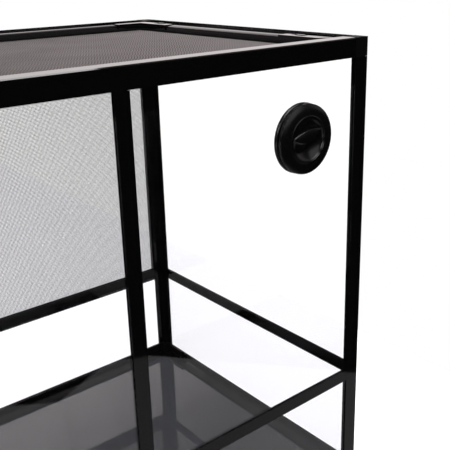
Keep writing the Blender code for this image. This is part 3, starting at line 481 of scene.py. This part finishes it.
def make_floor(stage):
    """A matt white floor that also has a plain level in reflections and through glass."""
    share_through_glass = 0.9

    def build(shape):
        shape.faces.new([shape.verts.new((x, y, 0)) for x, y in FLOOR_OUTLINE])

    floor = mesh_piece("studio_floor", build)
    material, tree, shader = new_material("studio_floor")
    shader.inputs["Base Color"].default_value = (*stage.floor_colour, 1)
    shader.inputs["Roughness"].default_value = 0.9
    shader.inputs["Specular IOR Level"].default_value = 0
    path = tree.nodes.new("ShaderNodeLightPath")
    glow = math_node(tree, "MULTIPLY", path.outputs["Is Camera Ray"], stage.floor_glow)
    shader.inputs["Emission Color"].default_value = (1, 1, 1, 1)
    tree.links.new(glow, shader.inputs["Emission Strength"])
    mirrored = math_node(tree, "GREATER_THAN", path.outputs["Glossy Depth"], 0.5)
    plain = tree.nodes.new("ShaderNodeEmission")
    place = tree.nodes.new("ShaderNodeTexCoord")
    away = tree.nodes.new("ShaderNodeVectorMath")
    away.operation = "LENGTH"
    tree.links.new(place.outputs["Object"], away.inputs[0])
    reflected = ramp(
        tree, away.outputs["Value"], NEAR_FLOOR, FAR_FLOOR, stage.floor_mirrored, stage.far_floor_mirrored
    )
    level = tree.nodes.new("ShaderNodeMix")
    level.inputs["A"].default_value = stage.backdrop_glow
    tree.links.new(mirrored, level.inputs["Factor"])
    tree.links.new(reflected, level.inputs["B"])
    tree.links.new(level.outputs["Result"], plain.inputs["Strength"])
    plain.inputs["Color"].default_value = (0.97, 0.96, 1, 1)
    through = math_node(tree, "MULTIPLY", path.outputs["Is Transmission Ray"], share_through_glass)
    choice = tree.nodes.new("ShaderNodeMixShader")
    tree.links.new(math_node(tree, "MAXIMUM", mirrored, through), choice.inputs["Fac"])
    tree.links.new(shader.outputs["BSDF"], choice.inputs[1])
    tree.links.new(plain.outputs["Emission"], choice.inputs[2])
    tree.links.new(choice.outputs["Shader"], tree.nodes["Material Output"].inputs["Surface"])
    dress(floor, material)


def add_lamp(name, place, target, size, power):
    data = bpy.data.lights.new(name, "AREA")
    data.size = size
    data.energy = power
    lamp = put_in_scene(bpy.data.objects.new(name, data))
    lamp.location = place
    direction = Vector(target) - Vector(place)
    lamp.rotation_euler = direction.to_track_quat("-Z", "Y").to_euler()


class TERRARIUM_OT_stage(bpy.types.Operator):
    """Camera, white backdrop, floor and lamps"""
    bl_idname = "terrarium.stage"
    bl_label = "Set the stage"

    def execute(self, context):
        stage = context.scene.terrarium_stage
        make_camera()
        make_surroundings(stage)
        make_floor(stage)
        near_port = (-0.2, 0.2, 0.5)
        add_lamp("lamp_above", (-0.1, 0.25, 2.6), (0, 0.1, 0.3), stage.lamp_size, stage.lamp_power)
        add_lamp("lamp_side", (1.6, 1.0, 1.5), near_port, size=0.9, power=stage.side_lamp_power)
        add_lamp("lamp_front", (-0.39, 1.6, 1.5), near_port, size=1.5, power=stage.front_lamp_power)
        context.scene.view_settings.view_transform = "Standard"
        return {"FINISHED"}


def tip_normals(material, slope):
    """Tips the normals towards the lid's middle by slope, or away from it where slope is negative."""
    tree = material.node_tree
    place = tree.nodes.new("ShaderNodeTexCoord")
    parts = tree.nodes.new("ShaderNodeSeparateXYZ")
    tree.links.new(place.outputs["Object"], parts.inputs["Vector"])
    high = CAD_BOUNDS[1]
    across = math_node(tree, "ABSOLUTE", parts.outputs["X"])
    from_side = math_node(tree, "SUBTRACT", high[0], across)
    along = math_node(tree, "ABSOLUTE", parts.outputs["Y"])
    from_end = math_node(tree, "SUBTRACT", FRAME_HALF_DEPTH, along)
    inward = math_node(tree, "MINIMUM", from_side, from_end)
    tip = tree.nodes.new("ShaderNodeBump")
    tip.inputs["Distance"].default_value = 1
    tree.links.new(math_node(tree, "MULTIPLY", inward, -slope), tip.inputs["Height"])
    lift = next(node for node in tree.nodes if node.type == "BUMP" and node != tip)
    tree.links.new(tip.outputs["Normal"], lift.inputs["Normal"])


class TERRARIUM_OT_bars(bpy.types.Operator):
    """Coats the bars and connectors and rounds their edges"""
    bl_idname = "terrarium.bars"
    bl_label = "Finish the bars"

    def execute(self, context):
        finish = context.scene.terrarium_finish
        gloss = (0.03, 0.07)
        satin = (0.4, 0.55)
        coat = surface("black_coat", finish.coat, gloss, specular=0.42, bump=0.006)
        moulding = surface(
            "black_moulding", finish.moulding, satin, specular=0.12, grain_scale=1600, bump=0.1
        )
        top_coat = surface("top_coat", finish.coat, gloss, specular=0.55, bump=0.006)
        tip_normals(top_coat, -0.02)
        doors = [name for name in NODES if name.startswith("door_frame")]
        for name in FRAME_BARS + doors:
            top = name.startswith("top_rail")
            dress_node(name, top_coat if top else coat)
            soften(NODES[name], finish.top_bar_edge if top else finish.bar_edge, 3 if top else 2)
        brackets = [name for name in NODES if name.startswith("hinge_bracket")]
        for name in CONNECTORS + brackets + ["door_latch"]:
            dress_node(name, moulding)
            soften(NODES[name], finish.bar_edge)
        return {"FINISHED"}


def floor_tray(depth):
    """The dark floor panel: its sloping rim lies on the bars' shelves, the rest is lower by depth."""
    play = 0.15 * MM
    thickness = 1.2 * MM
    rim_edge = 0.3 * MM
    low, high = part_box("floor_panel")
    shelves = Vector((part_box("base_rail_right")[0][0], -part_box("base_rail_front")[1][1]))
    underside = shelves - Vector((play, play))
    inner = underside - Vector((thickness, thickness))
    outer = Vector((high[0], high[1]))
    rings = (
        (inner, high[2] - depth), (inner, low[2] + rim_edge), (outer, high[2]),
        (outer, low[2]), (underside, low[2]), (underside, low[2] - depth),
    )

    def build(shape):
        loops = []
        for half, level in rings:
            corners = ((-1, -1), (1, -1), (1, 1), (-1, 1))
            loops.append([shape.verts.new((x * half.x, y * half.y, level)) for x, y in corners])
        for first, second in zip(loops, loops[1:]):
            for a in range(4):
                shape.faces.new((first[a - 1], first[a], second[a], second[a - 1]))
        shape.faces.new(loops[0])
        shape.faces.new(loops[-1])
        bmesh.ops.recalc_face_normals(shape, faces=shape.faces)

    tray = mesh_piece("floor_tray", build)
    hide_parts("floor_panel")
    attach(tray, "frame")
    return tray


class TERRARIUM_OT_panes(bpy.types.Operator):
    """Gives the panes clear glass and the floor panel its dark gloss"""
    bl_idname = "terrarium.panes"
    bl_label = "Glaze the panes"

    def execute(self, context):
        finish = context.scene.terrarium_finish
        glass = glass_material()
        for name in PANES:
            dress_node(name, glass)
        polish = (0.02, 0.05)
        slab = surface("dark_slab", finish.slab, polish, specular=0.9, smudge_scale=6, bump=0.004)
        tray = floor_tray(finish.floor_depth)
        dress(tray, slab)
        tray.data.materials.append(bpy.data.materials["black_coat"])
        largest = max(face.area for face in tray.data.polygons)
        for face in tray.data.polygons:
            wide = face.area > largest / 2
            face.material_index = 0 if wide else 1
        return {"FINISHED"}


def lid_slopes():
    """The lid's strips rise from the screen towards the bars, between the corner plates."""
    half = (CAD_BOUNDS[1][0], FRAME_HALF_DEPTH)
    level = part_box("lid_frame")[1][2]
    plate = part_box("lid_corner_rear_left")
    gap = 1 * MM
    ends = (abs(plate[1][0]) - gap, plate[0][1] - gap)
    from_edge = 21.3 * MM
    # Distance inwards and height, in millimetres
    section = [(0, 0), (0, 1.2), (0.35, 1.75), (1, 1.9), (8, 1.45), (15.6, 0.4), (16.1, 0)]

    def build(shape):
        for axis in (0, 1):
            reach = ends[1 - axis]
            for side in (-1, 1):
                rings = []
                for end in (-reach, reach):
                    ring = []
                    for across, height in section:
                        place = [0, 0, level + height * MM]
                        place[axis] = side * (half[axis] - from_edge - across * MM)
                        place[1 - axis] = end
                        ring.append(shape.verts.new(place))
                    rings.append(ring)
                    shape.faces.new(ring)
                for a in range(len(section)):
                    shape.faces.new((rings[0][a - 1], rings[0][a], rings[1][a], rings[1][a - 1]))
        bmesh.ops.recalc_face_normals(shape, faces=shape.faces)

    piece = mesh_piece("lid_slopes", build)
    smooth(piece, 40)
    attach(piece, "lid")
    return piece


class TERRARIUM_OT_lid(bpy.types.Operator):
    """Finishes the lid's strips, corner plates, locks and spline"""
    bl_idname = "terrarium.lid"
    bl_label = "Finish the lid"

    def execute(self, context):
        finish = context.scene.terrarium_finish
        gloss = (0.03, 0.05)
        matt = (0.6, 0.8)
        coat = surface("lid_coat", finish.lid_coat, gloss, bump=0.004)
        tip_normals(coat, 0.03)
        plates = ["lid_corner_" + corner for corner in CORNERS]
        locks = ["lid_lock_" + corner for corner in CORNERS]
        for name in ["lid_frame"] + plates + locks:
            dress_node(name, coat)
            soften(NODES[name], finish.plate_edge)
        dress(lid_slopes(), coat)
        rubber = surface("rubber", finish.rubber, matt, specular=0.1, grain_scale=2500, bump=0.2)
        dress_node("lid_spline", rubber)
        soften(NODES["lid_spline"], 3 * finish.plate_edge)
        return {"FINISHED"}


def wire_run(name, start, end, step, count, radius):
    """A straight wire repeated sideways by an Array modifier."""
    start = Vector(start)
    end = Vector(end)
    length = (end - start).length
    turn = (end - start).to_track_quat("Z", "Y").to_matrix().to_4x4()

    def build(shape):
        bmesh.ops.create_cone(
            shape, cap_ends=True, segments=6, radius1=radius, radius2=radius, depth=length,
            matrix=Matrix.Translation((start + end) / 2) @ turn,
        )

    run = mesh_piece(name, build)
    array = run.modifiers.new("wires", "ARRAY")
    array.count = count
    array.use_relative_offset = False
    array.use_constant_offset = True
    array.constant_offset_displace = step
    return run


def woven_screen(name, node, body, low, high, normal, level, screen, material):
    """Two crossing layers of wires in a plane; normal is the plane's axis and level its place."""
    pressed = 0.9
    axes = [axis for axis in range(3) if axis != normal]
    radius = screen.wire / 2
    for index, (along, across) in enumerate((axes, axes[::-1])):
        span = high[across] - low[across]
        count = int(span / screen.pitch)
        first = low[across] + (span - (count - 1) * screen.pitch) / 2
        start = [0.0, 0.0, 0.0]
        start[along] = low[along]
        start[across] = first
        start[normal] = level + (index - 0.5) * screen.wire * pressed
        end = list(start)
        end[along] = high[along]
        step = [0.0, 0.0, 0.0]
        step[across] = screen.pitch
        run = wire_run(name + ("_warp", "_weft")[index], start, end, step, count, radius)
        dress(run, material)
        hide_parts(node)
        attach(run, body)


def wire_material(name, colour, period, directions):
    """Drawn wire whose colour carries painted glints: lighter in slanting lines, darker between them."""
    drawn = (0.4, 0.6)
    material = surface(name, colour, drawn, grain_scale=400, shade=0.3, bump=0.05)
    tree = material.node_tree
    shader = tree.nodes["Principled BSDF"]
    waves = painted_glints_group(name + "_glints", directions)
    # Painted glints: the wire's base colour is scaled between 0.3 and 1 along slanting waves
    glints = place_group(tree, waves, {"Period": period, "Low": 0.3})
    shaded = tree.nodes.new("ShaderNodeVectorMath")
    shaded.operation = "SCALE"
    tree.links.new(shader.inputs["Base Color"].links[0].from_socket, shaded.inputs[0])
    tree.links.new(glints.outputs["Value"], shaded.inputs["Scale"])
    tree.links.new(shaded.outputs["Vector"], shader.inputs["Base Color"])
    return material


class TERRARIUM_OT_screens(bpy.types.Operator):
    """Weaves the lid's and the doors' screens from single wires"""
    bl_idname = "terrarium.screens"
    bl_label = "Weave the screens"

    def execute(self, context):
        screen = context.scene.terrarium_screen
        turns = [math.radians(angle) for angle in (-29, -34, -39, -44)]
        across = [(math.cos(turn), math.sin(turn), 0) for turn in turns]
        wire = wire_material("lid_wire", screen.colour, screen.lid_painted_glints, across)
        low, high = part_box("lid_screen")
        woven_screen("lid_mesh", "lid_screen", "lid", low, high, 2, (low[2] + high[2]) / 2, screen, wire)
        slanting = [(math.sqrt(0.5), 0, side * math.sqrt(0.5)) for side in (-1, 1)]
        wire = wire_material("door_wire", screen.door_colour, screen.door_painted_glints, slanting)
        for side in SIDES:
            node = "door_screen_" + side
            low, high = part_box(node)
            level = (low[1] + high[1]) / 2
            woven_screen("door_mesh_" + side, node, "door_" + side, low, high, 1, level, screen, wire)
        return {"FINISHED"}


def turned_piece(name, profile, steps):
    """A closed profile of (radius, outward) points in millimetres, turned about the port's axis."""
    def build(shape):
        points = [shape.verts.new((radius * MM, 0, outward * MM)) for radius, outward in profile]
        edges = [shape.edges.new((points[i - 1], points[i])) for i in range(len(points))]
        bmesh.ops.spin(
            shape, geom=points + edges, cent=(0, 0, 0), axis=(0, 0, 1), angle=2 * math.pi,
            steps=steps, use_merge=True,
        )
        bmesh.ops.remove_doubles(shape, verts=shape.verts, dist=0.001 * MM)
        bmesh.ops.recalc_face_normals(shape, faces=shape.faces)

    piece = mesh_piece(name, build)
    piece.matrix_world = PORT_PLACE
    smooth(piece)
    return piece


def sleeve_thread(radius, start, end, pitch, depth):
    """Ridges down the sleeve, as a profile from start to end."""
    groove = radius - depth
    profile = []
    outward = start
    while outward - pitch >= end:
        profile += [(radius, outward - 0.2 * pitch), (groove, outward - 0.5 * pitch)]
        profile += [(groove, outward - 0.7 * pitch), (radius, outward - pitch)]
        outward -= pitch
    return profile


def port_body(settings):
    """Flange, groove, sloping ring, bowl wall and threaded sleeve."""
    sleeve = 26.6
    profile = [
        (39, 0.3), (39, 2.5), (38.8, 3.3), (38.3, 3.9), (37.4, 4.3), (36.4, 4.3), (36.4, 5.8), (37.9, 5.8),
        (38.3, 6.2), (38.5, 9.7), (38.4, 10.1), (38, 10.4), (36.8, 11), (34.6, 12), (32.6, 12.5),
        (30, 12.8), (26.3, 13), (25.9, 13.35), (25.3, 13.5), (24.7, 13.35), (24.4, 12.9), (24.4, 4.5),
        (4.4, 4.5), (4.4, 1.5), (23.6, 1.5), (23.6, -9), (26.2, -9), (sleeve, -8.6),
    ]
    profile += reversed(sleeve_thread(sleeve, start=0, end=-8.4, pitch=1.4, depth=0.5))
    return turned_piece("port_body", profile, settings.steps)


def bowl_floor(radius, depth):
    """How far outward the knob's dish is at this radius, in millimetres."""
    return BOWL_RIM - depth * max(0.0, 1 - (radius / BOWL_RADIUS) ** 2.2) ** 0.7


def knob_bowl(settings):
    """The knob's dish, with its back and axle."""
    depth = settings.bowl_depth / MM
    count = 18
    radii = [BOWL_RADIUS * math.sin(math.pi / 2 * step / count) for step in range(count + 1)]
    dish = [(radius, bowl_floor(radius, depth)) for radius in radii]
    outer = [(23.85, BOWL_RIM + 0.15), (24, BOWL_RIM - 0.2), (24, 4.8), (4, 4.8), (4, 0.5), (0, 0.5)]
    return turned_piece("knob_bowl", dish + outer, settings.steps)


def knob_grip(settings):
    """The finger bar across the bowl: a leaf-shaped top, steep above and hollowed below."""
    top = settings.grip_height / MM
    depth = settings.bowl_depth / MM
    first_end = -20.6
    length = 41.8
    middle = 0.3
    half_leaf = 21
    sunk = 0.4
    count = 36
    rows = []
    for index in range(count + 1):
        along = first_end + length * index / count
        leaf = max(0.0, 1 - ((along - middle) / half_leaf) ** 2)
        upper = 5.9 + 4.4 * leaf ** 0.7
        lower = 5.5 - 8 * leaf
        foot = 5.2 - (10.5 + 0.25 * along + 7.5) * leaf ** 0.35
        crown = top - 1.1 * (1 - leaf) ** 2
        back = upper + 0.9
        row = [(back, bowl_floor(math.hypot(along, back), depth) - sunk)]
        row += [(upper + 0.35, crown - 1), (upper + 0.1, crown - 0.35), (upper - 0.35, crown)]
        row += [(lower + 0.75, crown), (lower + 0.3, crown - 0.12), (lower, crown - 0.5)]
        floor = bowl_floor(math.hypot(along, foot), depth) - sunk
        for step in (0.15, 0.35, 0.6, 0.8, 1.0):
            across = lower + (foot - lower) * step
            row.append((across, floor + (crown - 0.5 - floor) * (1 - step) ** 1.25))
        rows.append([(along, -across, height) for across, height in row])

    def build(shape):
        loops = [[shape.verts.new(Vector(point) * MM) for point in row] for row in rows]
        for first, second in zip(loops, loops[1:]):
            for a in range(len(first)):
                shape.faces.new((first[a - 1], first[a], second[a], second[a - 1]))
        shape.faces.new(loops[0][::-1])
        shape.faces.new(loops[-1])
        bmesh.ops.recalc_face_normals(shape, faces=shape.faces)

    piece = mesh_piece("knob_grip", build)
    piece.matrix_world = PORT_PLACE @ Matrix.Rotation(PORT_TILT, 4, "Z")
    smooth(piece, 40)
    return piece


class TERRARIUM_OT_port(bpy.types.Operator):
    """Makes the rotary port's housing, bowl and finger bar"""
    bl_idname = "terrarium.port"
    bl_label = "Make the port"

    def execute(self, context):
        finish = context.scene.terrarium_finish
        settings = context.scene.terrarium_port
        semi_gloss = (0.2, 0.3)
        plastic = surface("port_plastic", finish.port, semi_gloss, grain_scale=1500, bump=0.04)
        body = port_body(settings)
        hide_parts("port_housing")
        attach(body, "frame")
        knob = [knob_bowl(settings), knob_grip(settings)]
        for piece in knob:
            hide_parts("port_knob")
            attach(piece, "knob")
        for piece in [body] + knob:
            dress(piece, plastic)
        dress_node("port_nut", plastic)
        soften(NODES["port_nut"], 0.4 * MM, angle=25)
        return {"FINISHED"}


OPERATORS = (
    TERRARIUM_OT_stage,
    TERRARIUM_OT_bars,
    TERRARIUM_OT_panes,
    TERRARIUM_OT_lid,
    TERRARIUM_OT_screens,
    TERRARIUM_OT_port,
)
SETTINGS = {
    "terrarium_stage": TerrariumStageSettings,
    "terrarium_finish": TerrariumFinishSettings,
    "terrarium_screen": TerrariumScreenSettings,
    "terrarium_port": TerrariumPortSettings,
}


class TERRARIUM_PT_panel(bpy.types.Panel):
    """Lists the settings and one button for each group of pieces"""
    bl_idname = "TERRARIUM_PT_panel"
    bl_label = "Terrarium"
    bl_space_type = "VIEW_3D"
    bl_region_type = "UI"
    bl_category = "Terrarium"

    def draw(self, context):
        for operator in OPERATORS:
            self.layout.operator(operator.bl_idname)
        for name, group in SETTINGS.items():
            settings = getattr(context.scene, name)
            box = self.layout.box()
            for field in group.__annotations__:
                box.prop(settings, field)


def register():
    for group in SETTINGS.values():
        bpy.utils.register_class(group)
    for operator in OPERATORS:
        bpy.utils.register_class(operator)
    bpy.utils.register_class(TERRARIUM_PT_panel)
    for name, group in SETTINGS.items():
        setattr(bpy.types.Scene, name, PointerProperty(type=group))


def unregister():
    for name in SETTINGS:
        delattr(bpy.types.Scene, name)
    bpy.utils.unregister_class(TERRARIUM_PT_panel)
    for operator in reversed(OPERATORS):
        bpy.utils.unregister_class(operator)
    for group in reversed(list(SETTINGS.values())):
        bpy.utils.unregister_class(group)


def main():
    register()
    bpy.ops.terrarium.stage()
    bpy.ops.terrarium.bars()
    bpy.ops.terrarium.panes()
    bpy.ops.terrarium.lid()
    bpy.ops.terrarium.screens()
    bpy.ops.terrarium.port()


if __name__ == "__main__":
    main()
